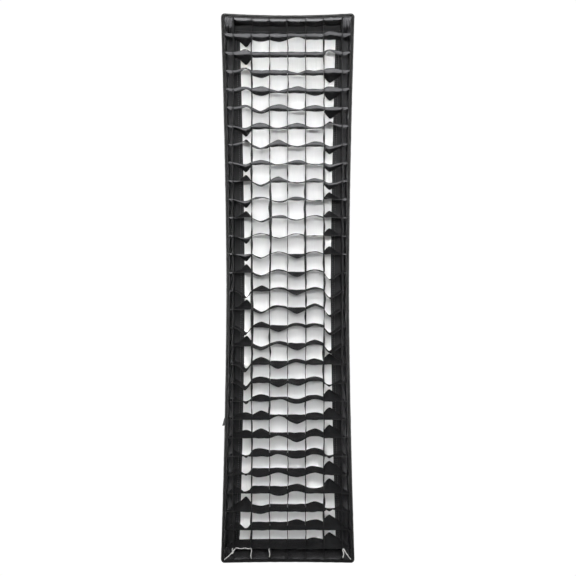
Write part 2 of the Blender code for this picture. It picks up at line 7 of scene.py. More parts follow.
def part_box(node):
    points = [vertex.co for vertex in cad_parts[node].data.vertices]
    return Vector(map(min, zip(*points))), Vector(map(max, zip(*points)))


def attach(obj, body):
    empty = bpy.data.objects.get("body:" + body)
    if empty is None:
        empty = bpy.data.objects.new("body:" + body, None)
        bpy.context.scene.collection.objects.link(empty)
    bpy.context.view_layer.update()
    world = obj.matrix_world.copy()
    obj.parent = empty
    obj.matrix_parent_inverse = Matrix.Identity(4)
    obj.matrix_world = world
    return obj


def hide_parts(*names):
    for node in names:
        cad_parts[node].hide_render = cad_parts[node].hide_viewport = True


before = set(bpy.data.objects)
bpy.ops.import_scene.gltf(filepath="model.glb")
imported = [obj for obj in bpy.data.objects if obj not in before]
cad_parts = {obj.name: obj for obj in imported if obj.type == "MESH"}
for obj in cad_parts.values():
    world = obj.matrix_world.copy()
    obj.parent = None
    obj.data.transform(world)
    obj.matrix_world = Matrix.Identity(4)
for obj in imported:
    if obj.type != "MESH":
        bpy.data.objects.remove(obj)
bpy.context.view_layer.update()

# Places that the model gives, in metres: +Z up, the front facing -Y
RIM_LOW, RIM_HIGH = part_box("rim_binding")
GRID_LOW, GRID_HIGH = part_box("grid_slats")
# The rim's tape is bulkier than the model's by this much
PROUD = 0.0012
HALF_WIDTH = RIM_HIGH[0] + PROUD
HALF_HEIGHT = RIM_HIGH[2] + PROUD
FRONT_Y = RIM_LOW[1]
BINDING_BACK_Y = RIM_HIGH[1]
GRID_FRONT_Y = GRID_LOW[1]
GRID_REAR_Y = GRID_HIGH[1]
DIFFUSER_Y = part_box("diffuser_panel")[1][1]
LABEL_LOW, LABEL_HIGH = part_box("side_label")
BAFFLE_LOW, BAFFLE_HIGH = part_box("inner_baffle")
BAFFLE_Y = (BAFFLE_LOW[1] + BAFFLE_HIGH[1]) / 2
COLLAR_LOW, COLLAR_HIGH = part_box("rear_collar")

# Rim outline: its rounded corners, and how far each side pulls in at its middle
CORNER_RADIUS = 0.008
SIDE_SAG = 0.0118
SIDE_SAG_POWER = 1.6
TOP_SAG = 0.0044
BOTTOM_SAG = 0.0016
ARC_X = HALF_WIDTH - CORNER_RADIUS
ARC_Z = HALF_HEIGHT - CORNER_RADIUS
# The spacing of its stations, and the steps over each corner
RIM_STEP = 0.004
ARC_STEPS = 6

# The rim's binding: its width over the edge
BINDING_WIDTH = 0.0045
# Layers, by how far they are inward from the rim's outer face
LIP_AT = 0.0022
TAPE_AT = 0.0039
BAND_AT = 0.0058
BAND_IN = 0.0066
BORDER_AT = 0.0052
# The diffuser's border is wider down the sides than across the ends
BORDER_SIDE = 0.0315
BORDER_END = 0.0235

# Grid: dividers a cell apart, slats a pitch apart from the top one down, the slots where they cross, and
# the strips' thickness
CELL = 0.040
DIVIDERS = 7
SLAT_TOP = 0.5565
SLAT_PITCH = 0.0402
SLOT = 0.0018
STRIP = 0.0009

# Corner webs: how far each pleat stands up, and how far the web slopes back at the first slat
PLEAT = 0.0030
WEB_SLOPE = 0.0180

# Painted highlights: pale lines at the bottom of the grid that stand for light caught on its creases. Those
# from the corners reach this far across the last slat, one runs along it, and the upright ones hang from it
# at a place and by a length
CORNER_HIGHLIGHTS = ((-1, 0.1150), (1, 0.1225))
SLAT_HIGHLIGHT = (-0.1150, -0.0815)
UPRIGHT_HIGHLIGHTS = ((-0.0800, 0.0225), (-0.0400, 0.0185), (0.1215, 0.0200), (-0.1205, 0.0120))

# Shell: its radius and corners at the speedring, how far the rods bow it out, and the share of its depth
# over which it turns from round to square
REAR_RADIUS = 0.100
REAR_CORNER = REAR_RADIUS * math.sqrt(0.5)
SHELL_REAR_Y = -0.030
ROD_BOW = 0.030
ROUND_UNTIL = 0.35
# Folds in its panels: broad ones, fine ones, and the gathers at the speedring
FAN_FOLD = 0.0040
FINE_FOLD = 0.0022
RING_GATHER = 0.0022
# How far the stitched seams are from the corners
SEAM_INSET = 0.0065

# Rods: how far inside the corner seams they run at the speedring and further forward, and the share of
# the seam that a pocket covers
ROD_INSET_REAR = (0.0184, 0.0100, 0.0184)
ROD_INSET = (0.0070, 0.0060, 0.0036)
POCKET_RUN = (0.902, 0.966)
POCKET_RADIUS = 0.0048

# Inner baffle: how far its sides and ends pull in, its waves, and its straps, which aim at this share of
# the corner seams and stop short of them
BAFFLE_SIDE_PULL = 0.006
BAFFLE_END_PULL = 0.005
BAFFLE_WAVE = 0.0030
STRAP_AIM = 0.62
STRAP_REACH = 0.88
STRAP_WIDTH = 0.010

CORNERS = {"top_left": (-1, 1), "top_right": (1, 1), "bottom_left": (-1, -1), "bottom_right": (1, -1)}

# How each slat buckles between the dividers, from the top slat down: its front edge, then its rear
# edge, over the six inner cells from left to right. U and D are strong bulges up and down, M is a
# middling one up, u and d are gentle ones, and - is straight.
FOLDS = (
    ("-----u", "Dddu--"),
    ("u----u", "D----U"),
    ("u--d-u", "Ud---D"),
    ("uudu-u", "Md--dD"),
    ("uDudu-", "Md---D"),
    ("dududu", "D----U"),
    ("uDUdud", "Ud---D"),
    ("dududd", "D----D"),
    ("-DUdud", "UD---D"),
    ("dudud-", "Dud--U"),
    ("-Dudu-", "UD-duU"),
    ("dudu--", "Dudu-U"),
    ("-DuDu-", "DDu-uU"),
    ("-DuDuD", "UDu-uD"),
    ("D-uDuD", "DUu-uD"),
    ("-DuDUD", "UDu-UD"),
    ("D-DuuD", "DU-uuD"),
    ("-DuDuD", "UDu-UD"),
    ("D-Du--", "DU-uuU"),
    ("D-Ddud", "Du--uD"),
    ("--udu-", "Du-duU"),
    ("--UD--", "uU--uU"),
    ("--uDu-", "uU--UU"),
    ("--udu-", "Du--uD"),
    ("-dudu-", "D---uU"),
    ("--du--", "D--udU"),
    ("-d---u", "Ud--uD"),
    ("------", "D--uuU"),
    ("------", "----uU"),
)
# The bulges' heights. In the two outer cells the strong ones are taller, and all peak this far across
GENTLE = 0.0050
STRONG = 0.0090
OUTER_STRONG = 0.0172
OUTER_PEAK = 0.66

# How far a divider's edges wave to either side
DIVIDER_BUCKLE = 0.0034
# Where a divider's rear edge is pulled sideways: its number, the height, and how far
REAR_PULLS = (
    (2, -0.06, 0.0030),
    (3, 0.14, 0.0042),
    (5, 0.12, -0.0036),
    (6, 0.42, 0.0022),
    (3, -0.42, -0.0018),
)
# How far up and down such a pull is felt
PULL_REACH = 0.16
# How far the grid's band bellies inward between its ties, and over what share of its depth
SIDE_PUCKER = (0.0011, 0.14)
TOP_PUCKER = (0.0030, 0.90)
BOTTOM_PUCKER = (0.0030, 0.14)
# The share of the band's depth over which its folds near the corners rise
FOLD_RUN = 0.14

SLAT_LEVELS = [SLAT_TOP - SLAT_PITCH * i for i in range(len(FOLDS))]
DIVIDER_PLACES = [CELL * (i - (DIVIDERS - 1) / 2) for i in range(DIVIDERS)]
# Where the strips' points lie: shares of their depth, and steps across a cell
SLAT_DEPTHS = (0.0, 0.02, 0.14, 0.28, 0.40, 0.48, 0.52, 0.60, 0.72, 0.86, 0.98, 1.0)
SLAT_STEPS = 14
DIVIDER_DEPTHS = (0.0, 0.02, 0.15, 0.32, 0.49, 0.51, 0.68, 0.85, 0.98, 1.0)
DIVIDER_STEPS = 8
# A slat is sewn to the band by this share of its depth, and widens to all of it at the first divider
END_DEPTH = 0.08

# The label narrows to this share towards its top
LABEL_TAPER = 0.45

# Cut sizes of the shell's panels
SIDE_CUT = (0.36, 1.20)
END_CUT = (0.29, 0.66)

# Stage: the floor, the surroundings' strength at eye level and overhead with the heights between which
# it changes, and the camera
FLOOR_LOW = (-7.0, -7.0)
FLOOR_HIGH = (7.0, 3.2)
FLOOR_Z = -2.3
FLOOR_GLOW = 0.66
WORLD_LEVEL = 1.02
WORLD_OVERHEAD = 0.08
WORLD_TURN = (0.32, 0.52)
CAMERA_PLACE = (0.0, -2.05, 0.1017)
CAMERA_LENS = 47.2
CAMERA_SHIFT = (0.0005, -0.0805)
# Area lights: place, aim, width, height, power, and spread in degrees
LIGHTS = {
    "key": ((0.0, -3.2, 0.50), (0.0, -0.4, 0.74), 0.6, 0.4, 11.2, 76.0),
    "high": ((0.0, -3.2, 1.30), (0.0, -0.4, -0.52), 0.6, 0.5, 4.1, 46.0),
    "side_-1": ((-2.0, -2.3, 0.75), (0.0, -0.4, 0.60), 0.6, 0.6, 5.4, 70.0),
    "side_1": ((2.0, -2.3, 0.75), (0.0, -0.4, 0.60), 0.6, 0.6, 5.4, 70.0),
    "low_fill": ((0.0, -1.8, -1.95), (0.0, -0.4, 0.44), 0.9, 0.3, 29.0, 32.0),
}


# ---------------- meshes


def link(obj):
    bpy.context.scene.collection.objects.link(obj)


def add_piece(name, points, faces, materials, body, slot=None, node=None):
    """A smooth mesh object that rides on a body, and stands for a node of the model if one is given."""
    data = bpy.data.meshes.new(name)
    data.from_pydata([tuple(point) for point in points], [], faces)
    data.update()
    data.shade_smooth()
    for material in materials:
        data.materials.append(material)
    obj = bpy.data.objects.new(name, data)
    link(obj)
    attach(obj, body)
    if node:
        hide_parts(node)
    return obj


def lattice(rows, wrap=False, hole=None, first=0):
    """Points and faces over rows; wrap joins each row's end to its start, and hole leaves some out."""
    width = len(rows[0])
    faces = []
    for i in range(len(rows) - 1):
        for j in range(width if wrap else width - 1):
            if hole and hole(i, j):
                continue
            a, b = first + i * width, first + (i + 1) * width
            k = (j + 1) % width
            faces.append((a + j, b + j, b + k, a + k))
    return [point for row in rows for point in row], faces


def thicken(obj, thickness, inner_slot=0, rim_slot=0):
    """Gives a surface its thickness, half to each side."""
    change = obj.modifiers.new("Cloth", "SOLIDIFY")
    change.thickness = thickness
    change.offset = 0.0
    change.material_offset = inner_slot
    change.material_offset_rim = rim_slot


def surface(tall, wide, place):
    """Rows of points from place(up, across), which takes two shares from 0 to 1."""
    return [[place(i / tall, j / wide) for j in range(wide + 1)] for i in range(tall + 1)]


def sheet_piece(name, kind, rows, node=None, wrap=False, inside=None):
    """A sheet of one of CLOTHS over rows of points; inside is its inner face's material."""
    material, body, slot, thickness = CLOTHS[kind]
    materials = [material, inside] if inside else [material]
    points, faces = lattice(rows, wrap)
    obj = add_piece(name, points, faces, materials, body, slot, node)
    thicken(obj, thickness, inner_slot=1 if inside else 0)
    return obj


def tube_rows(path, radius, sides=8, closed=False):
    """Rings of points round a path, anticlockwise about it."""
    rows = []
    count = len(path)
    for i, point in enumerate(path):
        before = path[i - 1] if closed or i else path[0]
        after = path[(i + 1) % count] if closed or i < count - 1 else path[-1]
        along = (after - before).normalized()
        across = along.cross(Vector((0.0, 1.0, 0.0) if abs(along.y) < 0.9 else (1.0, 0.0, 0.0)))
        across.normalize()
        up = along.cross(across)
        rows.append([
            point + radius * (math.cos(turn) * across + math.sin(turn) * up)
            for turn in (2 * math.pi * k / sides for k in range(sides))
        ])
    return rows


def add_rings(points, faces, rings, closed=False):
    """Adds rings that run clockwise about their path as a tube, capped unless it closes on itself."""
    first, sides = len(points), len(rings[0])
    made, over = lattice(rings + rings[:1] if closed else rings, wrap=True, first=first)
    points += made
    faces += over
    if not closed:
        last = len(points) - sides
        faces.append(tuple(range(first, first + sides)))
        faces.append(tuple(range(last + sides - 1, last - 1, -1)))


def tube(name, paths, radius, material, body, slot, closed=False):
    """Round piping along one or more paths."""
    points, faces = [], []
    for path in paths:
        rings = [ring[::-1] for ring in tube_rows(path, radius, closed=closed)]
        add_rings(points, faces, rings, closed)
    return add_piece(name, points, faces, [material], body, slot)


def stitches(name, seams, material, body, length=0.0030, gap=0.0018, radius=0.00035):
    """A thread's stitches as short flattened beads along seams of (point, surface normal)."""
    points, faces = [], []
    outline = ((-0.6, -0.4), (0.6, -0.4), (1.0, 0.0), (0.6, 0.8), (-0.6, 0.8), (-1.0, 0.0))
    bead = ((-0.5, 0.35), (-0.3, 1.0), (0.3, 1.0), (0.5, 0.35))
    for seam_points in seams:
        walked, due = 0.0, 0.0
        for (here, normal), (there, _) in zip(seam_points, seam_points[1:]):
            step = (there - here).length
            if step < 1e-9:
                continue
            along = (there - here) / step
            side = along.cross(normal).normalized()
            while due <= walked + step:
                centre = here + along * (due - walked)
                rings = []
                for at, swell in bead:
                    middle = centre + along * (at * length)
                    rings.append([middle + radius * swell * (side * u + normal * w) for u, w in outline])
                add_rings(points, faces, rings)
                due += length + gap
            walked += step
    return add_piece(name, points, faces, [material], body)


def mix(a, b, share):
    return a + (b - a) * share


def within(value, reach):
    return max(-reach, min(reach, value))


def smooth_step(value):
    value = max(0.0, min(1.0, value))
    return value * value * (3 - 2 * value)


def wander(x, y, z):
    """Smooth noise between about -1 and 1 that is the same on each run."""
    return noise.noise(Vector((x, y, z)))


# ---------------- rim outline


def side_x(z):
    """Half the rim's width at a height."""
    return HALF_WIDTH - SIDE_SAG * (1 - min(1.0, abs(z) / ARC_Z) ** SIDE_SAG_POWER)


def end_z(x, sign):
    """Half the rim's height at a place along its top or bottom."""
    sag = TOP_SAG if sign > 0 else BOTTOM_SAG
    return HALF_HEIGHT - sag * (1 - min(1.0, abs(x) / ARC_X) ** 2)


class Station:
    """A place on the rim: its point and outward normal in (x, z), its side, and how far along it is."""

    def __init__(self, x, z, nx, nz, side, along):
        length = math.hypot(nx, nz)
        self.x, self.z = x, z
        self.nx, self.nz = nx / length, nz / length
        self.side = side
        self.along = along

    def at(self, inset, y):
        """A point moved inward; a corner arc shrinks to a square corner once it is used up."""
        x = within(self.x - self.nx * inset, HALF_WIDTH - inset)
        z = within(self.z - self.nz * inset, HALF_HEIGHT - inset)
        return Vector((x, y, z))

    def normal(self):
        return Vector((self.nx, 0.0, self.nz))


def side_stations(sign, step=RIM_STEP):
    """A long side from its lower end up."""
    count = round(2 * ARC_Z / step)
    found = []
    for i in range(count + 1):
        z = ARC_Z * (2 * i / count - 1)
        slope = SIDE_SAG_POWER * SIDE_SAG / ARC_Z * (abs(z) / ARC_Z) ** (SIDE_SAG_POWER - 1)
        found.append(Station(sign * side_x(z), z, sign, -math.copysign(slope, z), "side", z))
    return found


def end_stations(sign, step=RIM_STEP):
    """A short side from +X to -X, with both its corner arcs."""
    sag = TOP_SAG if sign > 0 else BOTTOM_SAG
    arc = []
    for i in range(ARC_STEPS):
        turn = math.pi / 2 * i / ARC_STEPS
        nx, nz = math.cos(turn), math.sin(turn)
        arc.append((ARC_X + CORNER_RADIUS * nx, ARC_Z + CORNER_RADIUS * nz, nx, nz))
    count = round(2 * ARC_X / step)
    found = [Station(x, sign * z, nx, sign * nz, "corner", x) for x, z, nx, nz in arc]
    for i in range(count + 1):
        x = ARC_X * (1 - 2 * i / count)
        found.append(Station(x, sign * end_z(x, sign), -2 * sag * x / ARC_X**2, sign, "end", x))
    found += [Station(-x, sign * z, -nx, sign * nz, "corner", -x) for x, z, nx, nz in reversed(arc)]
    return found


def rim_stations(step=RIM_STEP):
    """The whole rim, anticlockwise as seen from the front."""
    right, left = side_stations(1, step), side_stations(-1, step)[::-1]
    top, bottom = end_stations(1, step), end_stations(-1, step)[::-1]
    return right[:-1] + top[:-1] + left[:-1] + bottom[:-1]


def section_rows(section, stations):
    """Rows along stations, one for each (inset, y) that the section gives at a station."""
    columns = [[station.at(*place) for place in section(station)] for station in stations]
    return [list(row) for row in zip(*columns)]


# ---------------- materials


def feed(tree, socket, value):
    """Links an output to a socket, or sets its plain value."""
    if isinstance(value, bpy.types.NodeSocket):
        tree.links.new(value, socket)
    else:
        socket.default_value = value


def add_node(tree, kind, feeds=None, **settings):
    """A node with its settings, and with its inputs fed by name or number."""
    node = tree.nodes.new(kind)
    for key, value in settings.items():
        setattr(node, key, value)
    for socket, value in (feeds or {}).items():
        feed(tree, node.inputs[socket], value)
    return node


class Finish:
    """A Principled material with node-based detail."""

    def __init__(self, name, roughness, metallic=0.0, **constants):
        self.material = bpy.data.materials.new(name)
        self.material.use_nodes = True
        self.tree = self.material.node_tree
        self.shader = self.tree.nodes["Principled BSDF"]
        self.set("Roughness", roughness)
        self.set("Metallic", metallic)
        for socket, value in constants.items():
            self.set(socket.replace("_", " "), value)
        self.place = self.add("ShaderNodeTexCoord").outputs["Object"]
        self.height = None

    def add(self, kind, feeds=None, **settings):
        return add_node(self.tree, kind, feeds, **settings)

    def set(self, socket, value):
        feed(self.tree, self.shader.inputs[socket], value)

    def math(self, operation, a, b=0.0, clamp=False):
        return self.add("ShaderNodeMath", {0: a, 1: b}, operation=operation, use_clamp=clamp).outputs[0]

    def vector(self, operation, a, b=(0.0, 0.0, 0.0)):
        return self.add("ShaderNodeVectorMath", {0: a, 1: b}, operation=operation).outputs[0]

    def split(self, vector):
        return self.add("ShaderNodeSeparateXYZ", {0: vector}).outputs

    def noise(self, scale, detail=3.0, stretch=(1.0, 1.0, 1.0), rough=0.5):
        """Noise from 0 to 1 over the piece's own coordinates."""
        place = self.vector("MULTIPLY", self.place, stretch)
        feeds = {"Vector": place, "Scale": scale, "Detail": detail, "Roughness": rough}
        return self.add("ShaderNodeTexNoise", feeds).outputs["Fac"]

    def cells(self, scale):
        """Distance to the nearest grain, for a moulded or cast surface."""
        feeds = {"Vector": self.place, "Scale": scale}
        return self.add("ShaderNodeTexVoronoi", feeds).outputs["Distance"]

    def weave(self, pitch):
        """Crossing threads on any face, from about -1 to 1."""
        turns = (2 * math.pi / pitch,) * 3
        x, y, z = self.split(self.vector("SINE", self.vector("MULTIPLY", self.place, turns)))
        pairs = (self.math("MULTIPLY", x, y), self.math("MULTIPLY", y, z), self.math("MULTIPLY", z, x))
        return self.math("ADD", self.math("ADD", pairs[0], pairs[1]), pairs[2])

    def rib(self, pitch, axis):
        """Parallel ribs along one axis, from 0 to 1."""
        turns = [0.0, 0.0, 0.0]
        turns[axis] = 2 * math.pi / pitch
        waves = self.split(self.vector("SINE", self.vector("MULTIPLY", self.place, tuple(turns))))
        return self.math("ADD", self.math("MULTIPLY", waves[axis], 0.5), 0.5)

    def sharpen(self, value, low, high):
        """0 below low and 1 above high."""
        feeds = {"Value": value, "From Min": low, "From Max": high}
        return self.add("ShaderNodeMapRange", feeds, interpolation_type="SMOOTHSTEP").outputs["Result"]

    def colour(self, factor, low, high):
        """A mix of two colours, each a triple or an output."""
        low, high = [(*value, 1.0) if isinstance(value, tuple) else value for value in (low, high)]
        feeds = {"Factor": factor, 6: low, 7: high}
        return self.add("ShaderNodeMix", feeds, data_type="RGBA").outputs[2]

    def paint(self, factor, low, high):
        """Sets the colour to a mix of two."""
        self.set("Base Color", self.colour(factor, low, high))

    def rough(self, value, low, high):
        """Sets the roughness to a 0 to 1 value spread from low to high."""
        feeds = {"Value": value, "To Min": low, "To Max": high}
        self.set("Roughness", self.add("ShaderNodeMapRange", feeds).outputs["Result"])

    def raise_by(self, value, distance, strength=1.0):
        """Adds one layer of bump, in metres."""
        feeds = {"Strength": strength, "Distance": distance, "Height": value}
        if self.height:
            feeds["Normal"] = self.height
        self.height = self.add("ShaderNodeBump", feeds).outputs["Normal"]
        self.set("Normal", self.height)


def woven(name, low, high, roughness, pitch, crinkle=0.0006, creases=0.0, sheen=0.25, **constants):
    """Plain-woven cloth with a little mottling and crinkling, and sharper creases if asked for."""
    cloth = Finish(name, roughness, Sheen_Weight=sheen, Sheen_Roughness=0.45, **constants)
    threads = cloth.weave(pitch)
    mottle = cloth.noise(22.0, 4.0)
    fade = cloth.math("MULTIPLY", threads, 0.10)
    cloth.paint(cloth.math("ADD", mottle, fade, clamp=True), low, high)
    cloth.rough(cloth.noise(45.0), roughness - 0.07, roughness + 0.07)
    cloth.raise_by(cloth.noise(60.0, 3.0), crinkle, 0.8)
    if creases:
        middle = cloth.math("SUBTRACT", cloth.noise(38.0, 2.0), 0.5)
        ridge = cloth.sharpen(cloth.math("ABSOLUTE", middle), 0.05, 0.0)
        cloth.raise_by(ridge, creases, 0.7)
    cloth.raise_by(threads, pitch * 0.12, 0.5)
    return cloth.material


def ripstop_shell(name):
    """Coated nylon with a raised ripstop check."""
    cloth = Finish(name, 0.46, Sheen_Weight=0.15, Sheen_Roughness=0.5, Specular_IOR_Level=0.45)
    threads = cloth.weave(0.0010)
    check_pitch = 0.006
    bands = cloth.vector("MULTIPLY", cloth.place, (1 / check_pitch,) * 3)
    near = cloth.vector("ABSOLUTE", cloth.vector("SUBTRACT", cloth.vector("FRACTION", bands), (0.5,) * 3))
    x, y, z = cloth.split(near)
    widest = cloth.math("MAXIMUM", x, cloth.math("MAXIMUM", y, z))
    check = cloth.sharpen(widest, 0.455, 0.485)
    mottle = cloth.noise(9.0, 5.0)
    base = cloth.colour(mottle, (0.012, 0.012, 0.013), (0.022, 0.022, 0.024))
    cloth.paint(cloth.math("MULTIPLY", check, 0.35), base, (0.05, 0.05, 0.052))
    cloth.rough(mottle, 0.40, 0.56)
    cloth.raise_by(cloth.noise(28.0, 4.0), 0.0020, 0.5)
    cloth.raise_by(check, 0.00015, 0.6)
    cloth.raise_by(threads, 0.00010, 0.4)
    return cloth.material


def silver_lining(name):
    """Pebbled silver reflector cloth."""
    cloth = Finish(name, 0.33, metallic=0.85)
    grain = cloth.cells(480.0)
    cloth.paint(grain, (0.66, 0.66, 0.67), (0.80, 0.80, 0.81))
    cloth.rough(cloth.noise(30.0), 0.26, 0.42)
    cloth.raise_by(grain, 0.0004, 0.5)
    cloth.raise_by(cloth.noise(24.0), 0.0018, 0.4)
    return cloth.material


def diffusion_cloth(name, low, high):
    """White translucent nylon with fine upright creases."""
    cloth = Finish(name, 0.72, Sheen_Weight=0.1, Sheen_Roughness=0.6)
    creases = cloth.noise(1.0, 3.0, (420.0, 60.0, 26.0))
    cloth.paint(creases, low, high)
    cloth.raise_by(creases, 0.0011, 0.55)
    cloth.raise_by(cloth.noise(1.0, 2.0, (95.0, 20.0, 9.0)), 0.0035, 0.5)
    cloth.raise_by(cloth.weave(0.0007), 0.00008, 0.4)
    return cloth.material


def hook_and_loop(name):
    """Fuzzy loop tape."""
    tape = Finish(name, 0.92, Sheen_Weight=0.08, Sheen_Roughness=0.4, Specular_IOR_Level=0.1)
    fuzz = tape.noise(1500.0, 5.0, rough=0.7)
    tape.paint(fuzz, (0.010, 0.010, 0.011), (0.040, 0.040, 0.042))
    tape.raise_by(fuzz, 0.0006, 0.9)
    return tape.material


def binding_tape(name):
    """Grosgrain binding with close ribs across it."""
    tape = Finish(name, 0.62, Specular_IOR_Level=0.10)
    ribs = tape.weave(0.0011)
    wear = tape.noise(70.0, 4.0)
    tape.paint(wear, (0.005, 0.005, 0.005), (0.011, 0.011, 0.011))
    tape.rough(wear, 0.52, 0.72)
    tape.raise_by(ribs, 0.00018, 0.7)
    tape.raise_by(tape.noise(140.0), 0.0004, 0.5)
    return tape.material


def elastic_band(name):
    """White elastic with close ribs."""
    band = Finish(name, 0.85, Sheen_Weight=0.3, Sheen_Roughness=0.5)
    ribs = band.rib(0.0016, 2)
    band.paint(ribs, (0.50, 0.50, 0.49), (0.78, 0.78, 0.76))
    band.raise_by(ribs, 0.0003, 0.8)
    band.raise_by(band.weave(0.0009), 0.0001, 0.5)
    return band.material


def metal(name, low, high, roughness, grain, metallic=1.0, brushed=(1.0, 1.0, 1.0), **constants):
    """Turned, cast or plated metal with wear in its colour and roughness."""
    finish = Finish(name, roughness, metallic, **constants)
    wear = finish.noise(38.0, 5.0)
    finish.paint(wear, low, high)
    finish.rough(finish.noise(90.0, 4.0, brushed), roughness - 0.08, roughness + 0.10)
    finish.raise_by(finish.noise(grain, 2.0, brushed), 0.00012, 0.5)
    return finish.material


def moulded_plastic(name, shade, roughness):
    """Fine-grained moulded plastic, paler where it is worn."""
    finish = Finish(name, roughness, Specular_IOR_Level=0.5)
    grain = finish.cells(1400.0)
    wear = finish.noise(60.0, 4.0)
    finish.paint(wear, shade, tuple(channel * 1.8 for channel in shade))
    finish.rough(wear, roughness - 0.08, roughness + 0.08)
    finish.raise_by(grain, 0.00012, 0.6)
    return finish.material


SHELL = ripstop_shell("shell_nylon")
SILVER = silver_lining("silver_lining")
LIP = woven(
    "lip_nylon", (0.016, 0.016, 0.017), (0.030, 0.030, 0.032), 0.52, 0.0010,
    crinkle=0.0012, sheen=0.06, Specular_IOR_Level=0.3,
)
GRID = woven(
    "grid_nylon", (0.012, 0.012, 0.013), (0.026, 0.026, 0.027), 0.70, 0.0009,
    crinkle=0.0022, sheen=0.0, Specular_IOR_Level=0.08,
)
# A darker copy of the grid cloth for the strips' edges and the band's hem: painted shade that keeps their
# lit front faces dark
GRID_SHADED_EDGE = woven(
    "grid_edge_painted_shade", (0.005, 0.005, 0.005), (0.010, 0.010, 0.010), 0.80, 0.0009, sheen=0.0,
    Specular_IOR_Level=0.05,
)
# A darker copy of the band cloth for the corner webs: painted shade in the grid's corners
WEB_SHADED = woven(
    "grid_corner_painted_shade", (0.007, 0.007, 0.008), (0.018, 0.018, 0.019), 0.60, 0.0010,
    crinkle=0.0014, sheen=0.0, Specular_IOR_Level=0.12,
)
# Pale cloth for the thin tubes that stand for light caught on the grid's creases: a painted highlight
CREASE_HIGHLIGHT = woven("painted_crease_highlight", (0.06, 0.06, 0.06), (0.40, 0.40, 0.39), 0.40, 0.0009, sheen=0.0)
BAND = woven(
    "grid_band_nylon", (0.026, 0.026, 0.027), (0.044, 0.044, 0.046), 0.60, 0.0010,
    crinkle=0.0018, creases=0.0016, sheen=0.0, Specular_IOR_Level=0.20,
)
BINDING = binding_tape("binding_grosgrain")
LOOP = hook_and_loop("loop_tape")
BORDER = woven(
    "border_nylon", (0.009, 0.009, 0.010), (0.018, 0.018, 0.019), 0.62, 0.0010, sheen=0.04,
    Specular_IOR_Level=0.25,
)
DIFFUSER = diffusion_cloth("diffuser_nylon", (0.83, 0.83, 0.83), (0.89, 0.89, 0.89))
BAFFLE = diffusion_cloth("baffle_nylon", (0.78, 0.78, 0.77), (0.84, 0.84, 0.83))
ELASTIC = elastic_band("elastic_strap")
THREAD = woven("stitching_thread", (0.05, 0.05, 0.052), (0.11, 0.11, 0.115), 0.55, 0.0006, crinkle=0.0002)
LABEL = woven(
    "label_satin", (0.010, 0.010, 0.011), (0.022, 0.022, 0.024), 0.60, 0.0006, crinkle=0.0004, sheen=0.0,
    Specular_IOR_Level=0.1,
)
POCKET = woven("pocket_webbing", (0.014, 0.014, 0.015), (0.035, 0.035, 0.037), 0.60, 0.0016, crinkle=0.0010)

INSERT_METAL = metal(
    "insert_aluminium", (0.30, 0.30, 0.31), (0.50, 0.50, 0.51), 0.38, 420.0, brushed=(1.0, 0.2, 1.0)
)
RING_METAL = metal(
    "ring_powder_coat", (0.014, 0.014, 0.015), (0.035, 0.035, 0.037), 0.46, 900.0, metallic=0.3
)
STEEL = metal("zinc_steel", (0.52, 0.52, 0.53), (0.70, 0.70, 0.70), 0.30, 600.0)
ROD_STEEL = metal(
    "spring_steel", (0.50, 0.50, 0.52), (0.66, 0.66, 0.67), 0.26, 300.0, brushed=(1.0, 0.2, 0.2)
)
PLASTIC = moulded_plastic("black_plastic", (0.016, 0.016, 0.017), 0.44)

# Each kind of cloth: its material, the body that it rides on, its slot and its thickness
CLOTHS = {
    "band": (BAND, "grid", "grid_cloth", 0.0012),
    # The hem takes the darker edge cloth, which is painted shade
    "hem": (GRID_SHADED_EDGE, "grid", "grid_cloth", 0.0006),
    "web": (WEB_SHADED, "grid", "grid_cloth", 0.0009),
    "diffuser": (DIFFUSER, "diffuser", "diffuser_cloth", 0.0005),
    "border": (BORDER, "diffuser", "lip_cloth", 0.0009),
    "lip": (LIP, "softbox", "lip_cloth", 0.0010),
    "binding": (BINDING, "softbox", "binding_tape", 0.0006),
    "loop": (LOOP, "softbox", "loop_tape", 0.0010),
    "label": (LABEL, "softbox", "lip_cloth", 0.0004),
    "shell": (SHELL, "softbox", "shell_cloth", 0.0010),
    "collar": (SHELL, "softbox", "shell_cloth", 0.0009),
    "pocket": (POCKET, "softbox", "lip_cloth", 0.0010),
    "baffle": (BAFFLE, "softbox", "baffle_cloth", 0.0006),
    "elastic": (ELASTIC, "softbox", "elastic", 0.0011),
}

# The material and slot of each rigid node, by how its name starts
NODE_FINISHES = {
    "mount_insert": (INSERT_METAL, "insert_metal"),
    "insert_retaining_ring": (STEEL, "steel"),
    "retaining_screw": (STEEL, "steel"),
    "speedring_body": (RING_METAL, "ring_metal"),
    "rod_socket": (RING_METAL, "ring_metal"),
    "rod_tip": (PLASTIC, "black_plastic"),
    "rod_top": (ROD_STEEL, "rod_steel"),
    "rod_bottom": (ROD_STEEL, "rod_steel"),
    "lock_shoe": (PLASTIC, "black_plastic"),
    "lock_knob": (PLASTIC, "black_plastic"),
}


def finish_nodes():
    """Gives each carried-over node its detailed material."""
    for name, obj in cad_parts.items():
        for start, (material, slot) in NODE_FINISHES.items():
            if name.startswith(start):
                for place in obj.material_slots:
                    place.material = material


# ---------------- grid


def divider_shift(number, z, depth):
    """How far a divider stands to one side of its place; depth is 0 at the front and 1 at the rear."""
    rear = sum(
        pull * smooth_step(1 - abs(z - height) / PULL_REACH)
        for which, height, pull in REAR_PULLS
        if which == number
    )
    loose = 0.0010 * wander(number * 5.3, z * 6, 0.5)
    return loose + rear * depth


def hump(t, peak, power):
    """How far a buckled strip stands off its chord: 0 at both ends and 1 at its peak."""
    t = max(0.0, min(1.0, t)) ** (math.log(0.5) / math.log(peak))
    return 1 - abs(2 * t - 1) ** power


